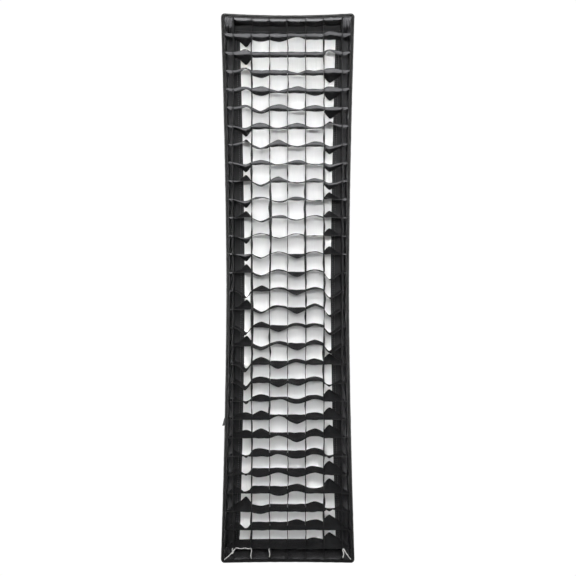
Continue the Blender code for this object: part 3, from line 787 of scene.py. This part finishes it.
def bulge(code, cell, t):
    """The height that a fold letter gives at a share t of the way across an inner cell."""
    if code == "-":
        return 0.0
    outer = cell in (0, 5)
    if outer:
        peak = OUTER_PEAK if cell == 0 else 1 - OUTER_PEAK
    else:
        peak = 0.5
    if code in "UD":
        size, power = (OUTER_STRONG, 1.15) if outer else (STRONG, 1.4)
    elif code == "M":
        size, power = STRONG, 1.6
    else:
        size, power = GENTLE, 1.8
    return size * hump(t, peak, power) * (-1 if code in "Dd" else 1)


def slat_rise(index, cell, t, depth):
    """A slat's height above its own level in an inner cell; depth is 0 at the front and 1 at the rear."""
    front = bulge(FOLDS[index][0][cell], cell, t)
    rear = bulge(FOLDS[index][1][cell], cell, t)
    middle = mix(front, rear, 0.28)
    if depth < 0.5:
        return mix(front, middle, 2 * depth)
    return mix(middle, rear, 2 * depth - 1)


def slat_columns(z, depth):
    """(x, cell, share across it, whether a slot follows) along a slat; the end half cells are -1 and 6."""
    places = [x + divider_shift(i, z, depth) for i, x in enumerate(DIVIDER_PLACES, start=1)]
    reach = side_x(z) - BAND_IN + 0.0004
    edges = [-reach, *places, reach]
    columns = []
    for cell, (left, right) in enumerate(zip(edges, edges[1:]), start=-1):
        half = cell in (-1, DIVIDERS - 1)
        steps = SLAT_STEPS // 2 if half else SLAT_STEPS
        start = left + (0 if cell == -1 else SLOT / 2)
        end = right - (0 if cell == DIVIDERS - 1 else SLOT / 2)
        for i in range(steps + 1):
            x = mix(start, end, i / steps)
            columns.append((x, cell, (x - left) / (right - left), i == steps))
    return columns


def slat_set():
    """The level slats as one set of strips, each slotted from behind at the dividers."""
    points, faces = [], []
    y_start = GRID_FRONT_Y + 0.0002
    y_end = GRID_REAR_Y - 0.0002
    for index, level in enumerate(SLAT_LEVELS):
        rows = []
        for depth in SLAT_DEPTHS:
            columns = slat_columns(level, depth)
            row = []
            for x, cell, t, _ in columns:
                reach = depth
                if 0 <= cell < DIVIDERS - 1:
                    rise = slat_rise(index, cell, t, depth)
                else:
                    rise = 0.0012 * math.sin(math.pi * t) * (1 - 2 * depth)
                    reach *= mix(END_DEPTH, 1.0, (t if cell == -1 else 1 - t) ** 1.4)
                free = min(1.0, 8 * t, 8 * (1 - t))
                rise += 0.0016 * free * wander(x * 60, depth * 2.2, index * 3.1)
                row.append(Vector((x, mix(y_start, y_end, reach), level + rise)))
            rows.append(row)

        def slot_here(i, j):
            return columns[j][3] and SLAT_DEPTHS[i] >= 0.5

        made, over = lattice(rows, hole=slot_here, first=len(points))
        points += made
        faces += over
    obj = add_piece(
        "grid_slat_strips", points, faces, [GRID, GRID_SHADED_EDGE], "grid", "grid_cloth", "grid_slats"
    )
    # The strips' edges take the darker edge cloth, which is painted shade
    thicken(obj, STRIP, rim_slot=1)


def divider(number, x):
    """An upright divider, slotted from the front for the slats."""
    bottom = -end_z(x, -1) + BAND_IN + 0.0006
    top = end_z(x, 1) - BAND_IN - 0.0006
    levels = SLAT_LEVELS[::-1]
    heights, slotted = [], []
    edges = [bottom, *levels, top]
    for below, above in zip(edges, edges[1:]):
        start = below + (0 if below == bottom else SLOT / 2)
        end = above - (0 if above == top else SLOT / 2)
        for i in range(DIVIDER_STEPS + 1):
            heights.append(mix(start, end, i / DIVIDER_STEPS))
            slotted.append(i == DIVIDER_STEPS and above != top)
    rows = []
    for z in heights:
        gap = min(abs(z - level) for level in levels)
        free = smooth_step(gap / (SLAT_PITCH / 2))
        row = []
        for depth in DIVIDER_DEPTHS:
            front = wander(number * 5.3, z * 15, 0.5)
            rear = wander(number * 5.3 + 40, z * 15, 7.5)
            buckle = DIVIDER_BUCKLE * mix(front, rear, depth)
            ripple = 0.0006 * wander(number * 2.1, z * 60, depth * 3)
            aside = divider_shift(number, z, depth) + (buckle + ripple) * free
            row.append(Vector((x + aside, mix(GRID_FRONT_Y, GRID_REAR_Y, depth), z)))
        rows.append(row)
    points, faces = lattice(rows, hole=lambda i, j: slotted[i] and DIVIDER_DEPTHS[j] < 0.5)
    obj = add_piece(
        f"divider_strip_{number}", points, faces, [GRID, GRID_SHADED_EDGE], "grid", "grid_cloth",
        f"grid_divider_{number}",
    )
    # The divider's edges take the darker edge cloth, which is painted shade
    thicken(obj, STRIP, rim_slot=1)


def tie_phase(station):
    """How far a rim place is between two ties of the grid, as a share: 0 and 1 at the ties."""
    if station.side == "side":
        turns = (SLAT_TOP - station.along) / SLAT_PITCH
    else:
        turns = station.along / CELL
    return turns - math.floor(turns)


def corner_nearness(station):
    """1 at the rim's corners, falling to 0 some way along each side."""
    return smooth_step(1 - (math.hypot(abs(station.x) - HALF_WIDTH, abs(station.z) - HALF_HEIGHT)) / 0.055)


def band_pucker(station, depth):
    """How far the band bellies inward between two ties at a share of its depth."""
    if station.side == "corner":
        return 0.0
    ends = TOP_PUCKER if station.z > 0 else BOTTOM_PUCKER
    size, run = SIDE_PUCKER if station.side == "side" else ends
    return size * hump(tie_phase(station), 0.5, 4.0) * math.sin(math.pi / 2 * min(1.0, depth / run))


def grid_band():
    """The band round the grid, puckered between its ties."""
    depths = [i / 9 for i in range(10)]

    def section(station):
        near = corner_nearness(station)
        folds = 0.0080 * near * max(0.0, wander(station.x * 110, station.z * 110, 3.0))
        places = []
        for depth in depths:
            crinkle = 0.0012 * wander(station.x * 60, depth * 4, station.z * 60)
            push = band_pucker(station, depth) + folds * smooth_step(depth / FOLD_RUN)
            places.append((BAND_AT + max(0.0, push + crinkle), mix(GRID_FRONT_Y, GRID_REAR_Y, depth)))
        return places

    rows = section_rows(section, rim_stations(0.0025))
    obj = sheet_piece("grid_band_cloth", "band", rows, node="grid_slats", wrap=True)
    grid_hem()


def grid_hem():
    """Binding folded over the band's front edge."""
    half = 0.0009
    depth = 0.006

    def section(station):
        ripple = 0.0003 * wander(station.x * 150, 5.0, station.z * 150)
        middle = BAND_AT + 0.0002 + ripple
        front = GRID_FRONT_Y - 0.0006
        return [
            (middle - half, front + depth),
            (middle - half, front + 0.0010),
            (middle - 0.6 * half, front + 0.0002),
            (middle, front),
            (middle + 0.6 * half, front + 0.0002),
            (middle + half, front + 0.0010),
            (middle + half, front + depth),
        ]

    rows = section_rows(section, rim_stations())
    return sheet_piece("grid_band_hem", "hem", rows, wrap=True)


def corner_web(name, corner):
    """The slack of the band, pleated across the corner between the rim and the first divider."""
    side, end = corner
    wall = HALF_WIDTH - BAND_IN - 0.0006
    foot = CELL * (DIVIDERS - 1) / 2 + 0.0014
    level = abs(SLAT_LEVELS[0 if end > 0 else -1]) + 0.0016
    edge = HALF_HEIGHT - BAND_IN - 0.0004

    def place(v, u):
        x = mix(wall, foot, u)
        sag = (TOP_SAG if end > 0 else BOTTOM_SAG) * (1 - (x / ARC_X) ** 2)
        z = mix(edge - sag, level, v)
        pleat = PLEAT * (0.5 - 0.5 * math.cos(2 * math.pi * (2.6 * u + 0.5 * v))) * smooth_step(4 * v)
        slope = WEB_SLOPE * v * (1 - 0.45 * u)
        y = GRID_FRONT_Y + 0.0014 + slope + pleat + 0.0008 * wander(x * 150, z * 90, side)
        return Vector((side * x, y, end * z))

    # The web's darker cloth is painted shade in the corner
    obj = sheet_piece(f"grid_corner_web_{name}", "web", surface(14, 36, place))


def crease_highlight_lines():
    """Painted highlights: pale tubes where the cloth is pulled tight along the bottom of the grid, standing
    for light caught on its creases.
    """
    front = GRID_FRONT_Y + 0.0006
    level = SLAT_LEVELS[-1]
    rim = -(HALF_HEIGHT - BAND_IN - 0.0012)
    wall = HALF_WIDTH - BAND_IN - 0.0012
    paths = []
    for side, reach in CORNER_HIGHLIGHTS:
        start, end = Vector((side * wall, front, rim)), Vector((side * reach, front, level - 0.001))
        paths.append([
            start.lerp(end, i / 12) + Vector((0.0, 0.0, -0.0016 * math.sin(math.pi * i / 12)))
            for i in range(13)
        ])
    paths.append([
        Vector((mix(*SLAT_HIGHLIGHT, i / 14), front, level + 0.0008 * math.sin(i * 0.9))) for i in range(15)
    ])
    for x, drop in UPRIGHT_HIGHLIGHTS:
        across = [x + 0.0009 * math.sin(i * 0.7 + x * 80) for i in range(11)]
        paths.append([Vector((at, front, level - drop * i / 10)) for i, at in enumerate(across)])
    tube("grid_crease_highlights", paths, 0.0010, CREASE_HIGHLIGHT, "grid", "grid_cloth")


def make_grid():
    grid_band()
    for name, corner in CORNERS.items():
        corner_web(name, corner)
    crease_highlight_lines()
    slat_set()
    for number, x in enumerate(DIVIDER_PLACES, start=1):
        divider(number, x)


# ---------------- diffuser


def border_width(station):
    """The border is wider down the sides than across the ends."""
    return BORDER_END if station.side == "end" else BORDER_SIDE


def border_point(station, inset, y):
    """A point of the border, whose corners are mitred between the side and end widths."""
    point = station.at(BORDER_AT + inset, y)
    across, up = inset, inset
    if inset > 0.003:
        share = inset / border_width(station)
        across, up = share * BORDER_SIDE, share * BORDER_END
    if station.side != "side":
        point.x = within(point.x, HALF_WIDTH - BORDER_AT - across)
    point.z = within(point.z, HALF_HEIGHT - BORDER_AT - up)
    return point


def diffuser_cloth():
    """The white cloth, with ripples drawn into it."""
    low_z, high_z = -HALF_HEIGHT + BAND_AT, HALF_HEIGHT - BAND_AT

    def place(share, over):
        across = 2 * over - 1
        z = mix(low_z + BOTTOM_SAG * (1 - across**2), high_z - TOP_SAG * (1 - across**2), share)
        x = across * (side_x(z) - BAND_AT)
        free = (1 - across**6) * (1 - (2 * share - 1) ** 20)
        ripple = 0.0008 * wander(x * 55, 1.0, z * 4) + 0.0004 * wander(x * 160, 2.0, z * 9)
        return Vector((x, DIFFUSER_Y - 0.0006 + free * (0.0008 + ripple), z))

    panel = sheet_piece("diffuser_cloth", "diffuser", surface(240, 56, place), node="diffuser_panel")


def diffuser_border():
    """The black border sewn round the white cloth, with its turned outer edge and two seams."""
    back = DIFFUSER_Y - 0.0016
    turned = ((0.0, -0.0080), (0.0, -0.0030), (0.0004, -0.0008), (0.0020, -0.0002))
    stations = rim_stations()
    columns = []
    for station in stations:
        width = border_width(station)
        ripple = 0.0005 * abs(wander(station.x * 50, 7.0, station.z * 50))
        column = [border_point(station, inset, back + rise) for inset, rise in turned]
        column += [border_point(station, share * width, back - ripple) for share in (0.35, 0.70)]
        column.append(border_point(station, width - 0.0022, back))
        column.append(border_point(station, width - 0.0008, back - 0.0005))
        column.append(border_point(station, width, back + 0.0002))
        columns.append(column)
    rows = [list(row) for row in zip(*columns)]
    border = sheet_piece("diffuser_border_cloth", "border", rows, node="diffuser_border", wrap=True)
    seams = [
        [
            (border_point(station, border_width(station) - short, back - 0.0009), Vector((0, -1, 0)))
            for station in stations + stations[:1]
        ]
        for short in (0.0030, 0.0075)
    ]
    thread = stitches("diffuser_border_stitching", seams, THREAD, "diffuser")


# ---------------- lip and rim


def lip_section(station):
    """The front wall of the box from the rim back to the diffuser."""
    places = []
    steps = 12
    for i in range(steps + 1):
        share = i / steps
        free = math.sin(math.pi * share)
        slack = 0.0006 * free + 0.0005 * free * wander(station.x * 35, share * 3, station.z * 35)
        near = corner_nearness(station)
        fold = 0.0008 * near * free * wander(station.x * 120, share * 2, station.z * 120)
        places.append((LIP_AT + slack + fold, mix(FRONT_Y + 0.0022, DIFFUSER_Y, share)))
    return places


def lip_panel(name, stations):
    obj = sheet_piece(f"{name}_cloth", "lip", section_rows(lip_section, stations), node=name)


def rim_binding():
    """Grosgrain folded over the lip's front edge."""
    back = BINDING_BACK_Y

    def section(station):
        ripple = 0.00035 * wander(station.x * 90, 4.0, station.z * 90)
        outer = 0.0004 + max(-0.0004, ripple)
        inner = BINDING_WIDTH - 0.0008
        middle = (outer + inner) / 2
        front = FRONT_Y + 0.0003
        return [
            (outer + 0.0004, back),
            (outer, back - 0.0030),
            (outer, front + 0.0022),
            (outer + 0.0004, front + 0.0009),
            (outer + 0.0011, front + 0.0002),
            (middle, front),
            (inner - 0.0011, front + 0.0002),
            (inner - 0.0004, front + 0.0009),
            (inner, front + 0.0022),
            (inner, back - 0.0030),
            (inner - 0.0002, back),
        ]

    stations = rim_stations()
    rows = section_rows(section, stations)
    obj = sheet_piece("rim_binding_tape", "binding", rows, node="rim_binding", wrap=True)
    outside = [(s.at(0.0, back - 0.0018), s.normal()) for s in stations + stations[:1]]
    thread = stitches("rim_binding_stitching", [outside], THREAD, "softbox")


def loop_tape():
    """The loop tape inside the lip, which the grid's band grips."""

    def section(station):
        ripples = [0.0002 * wander(station.x * 80, i, station.z * 80) for i in range(7)]
        start, end = BINDING_BACK_Y + 0.0004, DIFFUSER_Y
        return [(TAPE_AT + ripple, mix(start, end, i / 6)) for i, ripple in enumerate(ripples)]

    rows = section_rows(section, rim_stations())
    obj = sheet_piece("lip_loop_cloth", "loop", rows, node="lip_loop_tape", wrap=True)


def side_label():
    """A blank folded label caught in the left side."""
    half = (LABEL_HIGH[2] - LABEL_LOW[2]) / 2
    middle = (LABEL_HIGH[2] + LABEL_LOW[2]) / 2
    y = (LABEL_LOW[1] + LABEL_HIGH[1]) / 2
    rows = []
    for i in range(13):
        up = mix(-half, half, i / 12)
        row = []
        for turn in (0.0, 0.2, 0.4, 0.46, 0.5, 0.54, 0.6, 0.8, 1.0):
            out = 1 - abs(2 * turn - 1)
            x = mix(LABEL_HIGH[0], LABEL_LOW[0], out * mix(1.0, LABEL_TAPER, i / 12))
            side = 0.0 if turn == 0.5 else math.copysign(0.00035, turn - 0.5)
            droop = -0.0012 * out**2
            bend = 0.0012 * out * wander(up * 90, 3.0, 8.0)
            row.append(Vector((x, y + side + bend, middle + up + droop)))
        rows.append(row)
    obj = sheet_piece("side_label_cloth", "label", rows, node="side_label")


def make_lip():
    rim_binding()
    loop_tape()
    for name, sign in (("lip_left", -1), ("lip_right", 1)):
        lip_panel(name, side_stations(sign))
    for name, sign in (("lip_top", 1), ("lip_bottom", -1)):
        lip_panel(name, end_stations(sign))
    side_label()


# ---------------- shell


def seam(share):
    """The corner seam in the +X, +Z quarter: share 0 at the speedring, 1 at the lip."""
    rear = Vector((REAR_CORNER, SHELL_REAR_Y, REAR_CORNER))
    front = Vector((HALF_WIDTH - 0.0015, DIFFUSER_Y + 0.0008, HALF_HEIGHT - 0.0015))
    chord = front - rear
    outward = Vector((0.0, chord.z, -chord.y)).normalized()
    return rear + chord * share + outward * (4 * ROD_BOW * share * (1 - share))


def shell_point(share, across, side):
    """A point on a shell panel: round at the speedring, pulled in between its seams further forward."""
    edge = seam(share)
    bulge_out = REAR_RADIUS - REAR_CORNER
    pull = {"left": SIDE_SAG, "right": SIDE_SAG, "top": TOP_SAG, "bottom": BOTTOM_SAG}[side]
    sag = mix(-bulge_out, pull, smooth_step(share / ROUND_UNTIL)) * (1 - across**2)
    if side in ("left", "right"):
        sign = 1 if side == "right" else -1
        return Vector((sign * (edge.x - sag), edge.y, across * edge.z))
    sign = 1 if side == "top" else -1
    return Vector((across * edge.x, edge.y, sign * (edge.z - sag)))


def shell_normal(share, across, side):
    """The outward direction of a panel at a point."""
    small = 1e-3
    along = shell_point(min(1.0, share + small), across, side) - shell_point(share - small, across, side)
    over = shell_point(share, across + small, side) - shell_point(share, across - small, side)
    normal = along.cross(over).normalized()
    outward = {"left": (-1, 0, 0), "right": (1, 0, 0), "top": (0, 0, 1), "bottom": (0, 0, -1)}[side]
    return normal if normal.dot(Vector(outward)) > 0 else -normal


def shell_panel(side):
    """One outer panel, black outside and silver inside, with soft tension folds."""
    upright = side in ("left", "right")
    shift = {"left": 1.0, "right": 2.0, "top": 3.0, "bottom": 4.0}[side]

    def place(share, over):
        across = 2 * over - 1
        free = (1 - across**4) * math.sin(math.pi * share) ** 0.5
        fan = wander(across * 7, share * 2.0, shift) * FAN_FOLD
        fine = wander(across * 20, share * 4, shift + 9) * FINE_FOLD
        near_ring = smooth_step(1 - share / 0.25)
        gather = RING_GATHER * near_ring * math.sin(across * 26) * (1 - across**4)
        dent = free * (fan + fine) + math.sin(math.pi * share) * gather
        return shell_point(share, across, side) + shell_normal(share, across, side) * (dent - 0.0008)

    rows = surface(90, 84 if upright else 40, place)
    if side in ("right", "bottom"):
        rows = [row[::-1] for row in rows]
    area = 0.0
    for low, high in zip(rows, rows[1:]):
        for a, b, c, d in zip(low, high, high[1:], low[1:]):
            area += ((b - a).cross(c - a).length + (c - a).cross(d - a).length) / 2
    obj = sheet_piece(f"shell_{side}_cloth", "shell", rows, node=f"shell_{side}", inside=SILVER)
    cut = SIDE_CUT if upright else END_CUT
    area = min(area, cut[0] * cut[1])


def mirrored(point, corner):
    return Vector((corner[0] * point.x, point.y, corner[1] * point.z))


def make_shell():
    """The four panels with their piping, seams and rear collar."""
    for side in ("left", "right", "top", "bottom"):
        shell_panel(side)
    paths = [[mirrored(seam(i / 60), corner) for i in range(61)] for corner in CORNERS.values()]
    tube("shell_corner_piping", paths, 0.0019, BINDING, "softbox", "binding_tape")
    ring = [s.at(0.0016, DIFFUSER_Y + 0.0004) for s in rim_stations()]
    tube("shell_piping", [ring], 0.0017, BINDING, "softbox", "binding_tape", closed=True)
    seams = []
    for side in ("left", "right", "top", "bottom"):
        for sign in (-1, 1):
            line = []
            for i in range(121):
                share = mix(0.02, 0.985, i / 120)
                edge = seam(share)
                span = edge.z if side in ("left", "right") else edge.x
                across = sign * (1 - SEAM_INSET / span)
                normal = shell_normal(share, across, side)
                line.append((shell_point(share, across, side) + normal * 0.0001, normal))
            seams.append(line)
    stitches("shell_seam_stitching", seams, THREAD, "softbox", length=0.0032, gap=0.0020, radius=0.0004)
    rear_collar()


def rear_collar():
    """The gathered cloth collar that closes the shell against the speedring."""
    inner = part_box("speedring_body")[1][0] + 0.0008
    outer = COLLAR_HIGH[0] - 0.0003
    middle_y = (COLLAR_LOW[1] + COLLAR_HIGH[1]) / 2
    rows = []
    for i in range(11):
        share = i / 10
        row = []
        for j in range(192):
            turn = 2 * math.pi * j / 192
            gather = 0.0012 * math.sin(36 * turn + 2 * wander(math.cos(turn) * 2, math.sin(turn) * 2, 1.0))
            rise = gather * mix(1.0, 0.2, share) - 0.0010 * math.sin(math.pi * share)
            radius = mix(inner, outer, share)
            row.append(Vector((radius * math.cos(turn), middle_y + rise, radius * math.sin(turn))))
        rows.append(row)
    obj = sheet_piece("rear_collar_cloth", "collar", rows, node="rear_collar", wrap=True)


def rod_centre(share, corner):
    """Where a rod runs, inside its corner seam."""
    inset = Vector(ROD_INSET_REAR).lerp(Vector(ROD_INSET), smooth_step(share / ROUND_UNTIL))
    return mirrored(seam(share) - inset, corner)


def corner_pockets():
    """A webbing pocket sewn over each rod's tip."""
    for name, corner in CORNERS.items():
        path = [rod_centre(mix(*POCKET_RUN, i / 12), corner) for i in range(13)]
        rows = []
        for i, ring in enumerate(tube_rows(path, POCKET_RADIUS, sides=20)):
            centre = path[i]
            close = 1.0 if i < 11 else (0.72 if i == 11 else 0.25)
            swell = 1 + 0.06 * math.sin(i * 1.3)
            rows.append([centre + (point - centre) * close * swell for point in ring])
        node = f"corner_pocket_{name}"
        obj = sheet_piece(f"corner_pocket_cloth_{name}", "pocket", rows, node, wrap=True)


# ---------------- inner baffle


def inner_baffle():
    """The cloth that evens the light, drawn out to its four corners."""

    def place(share, over):
        across = 2 * over - 1
        pull = BAFFLE_SIDE_PULL * (1 - (2 * share - 1) ** 2)
        x = across * (BAFFLE_HIGH[0] - pull * abs(across))
        z = mix(BAFFLE_LOW[2], BAFFLE_HIGH[2], share)
        z += (0.5 - share) * 2 * BAFFLE_END_PULL * (1 - across**2)
        edge = min(1 - abs(across), 2 * share, 2 * (1 - share))
        wave = BAFFLE_WAVE * wander(across * 2.4, 5.0, share * 5) * smooth_step(edge * 6)
        return Vector((x, BAFFLE_Y + wave, z))

    obj = sheet_piece("inner_baffle_cloth", "baffle", surface(92, 40, place), node="inner_baffle")


def baffle_strap(name, corner):
    """An elastic strap from a corner of the baffle to the shell's seam."""
    start = Vector((corner[0] * BAFFLE_HIGH[0], BAFFLE_Y, corner[1] * (BAFFLE_HIGH[2] + 0.001)))
    end = start.lerp(mirrored(seam(STRAP_AIM), corner), STRAP_REACH)
    along = (end - start).normalized()
    across = along.cross(Vector((0, 1, 0))).normalized()
    face = across.cross(along)

    def place(share, over):
        centre = start.lerp(end, share) + face * (0.0008 * math.sin(math.pi * share))
        half = STRAP_WIDTH / 2 - 0.0006 * math.sin(math.pi * share)
        return centre + face * mix(-half, half, over)

    node = f"baffle_strap_{name}"
    strap = sheet_piece(f"elastic_strap_{name}", "elastic", surface(40, 6, place), node)
    f"shell_{name.split('_')[1]}_cloth"


# ---------------- stage


def make_stage():
    """A plain pale floor."""
    (left, near), (right, far) = FLOOR_LOW, FLOOR_HIGH
    finish = Finish(
        "pale_floor", 0.9, Base_Color=(0.9, 0.9, 0.9, 1.0), Emission_Color=(1.0, 1.0, 1.0, 1.0),
        Emission_Strength=FLOOR_GLOW,
    )
    data = bpy.data.meshes.new("floor")
    corners = [(left, near), (right, near), (right, far), (left, far)]
    data.from_pydata([(x, y, FLOOR_Z) for x, y in corners], [], [(0, 1, 2, 3)])
    data.materials.append(finish.material)
    floor = bpy.data.objects.new("floor", data)
    link(floor)


def make_world():
    """Plain white surroundings, a little darker overhead."""
    world = bpy.data.worlds.new("studio")
    bpy.context.scene.world = world
    world.use_nodes = True
    tree = world.node_tree
    place = add_node(tree, "ShaderNodeTexCoord").outputs["Generated"]
    up = add_node(tree, "ShaderNodeSeparateXYZ", {0: place}).outputs["Z"]
    low, high = WORLD_TURN
    feeds = {"Value": up, "From Min": low, "From Max": high, "To Min": WORLD_LEVEL, "To Max": WORLD_OVERHEAD}
    strength = add_node(tree, "ShaderNodeMapRange", feeds).outputs["Result"]
    back = tree.nodes["Background"]
    feed(tree, back.inputs["Color"], (1.0, 1.0, 1.0, 1.0))
    feed(tree, back.inputs["Strength"], strength)


def area_light(name, place, target, width, height, power, spread):
    data = bpy.data.lights.new(name, "AREA")
    data.shape = "RECTANGLE"
    data.size = width
    data.size_y = height
    data.energy = power
    data.spread = math.radians(spread)
    light = bpy.data.objects.new(name, data)
    light.location = place
    aim = Vector(target) - Vector(place)
    light.rotation_euler = aim.to_track_quat("-Z", "Y").to_euler()
    light.visible_camera = False
    link(light)


def make_camera():
    data = bpy.data.cameras.new("camera")
    data.lens = CAMERA_LENS
    data.sensor_width = 36.0
    data.shift_x, data.shift_y = CAMERA_SHIFT
    camera = bpy.data.objects.new("camera", data)
    camera.location = CAMERA_PLACE
    camera.rotation_euler = (math.pi / 2, 0.0, 0.0)
    link(camera)
    bpy.context.scene.camera = camera


bpy.context.scene.view_settings.view_transform = "Standard"
make_camera()
make_stage()
make_world()
for name, settings in LIGHTS.items():
    area_light(name, *settings)
finish_nodes()
make_grid()
diffuser_cloth()
diffuser_border()
make_lip()
make_shell()
corner_pockets()
inner_baffle()
for name, corner in CORNERS.items():
    baffle_strap(name, corner)
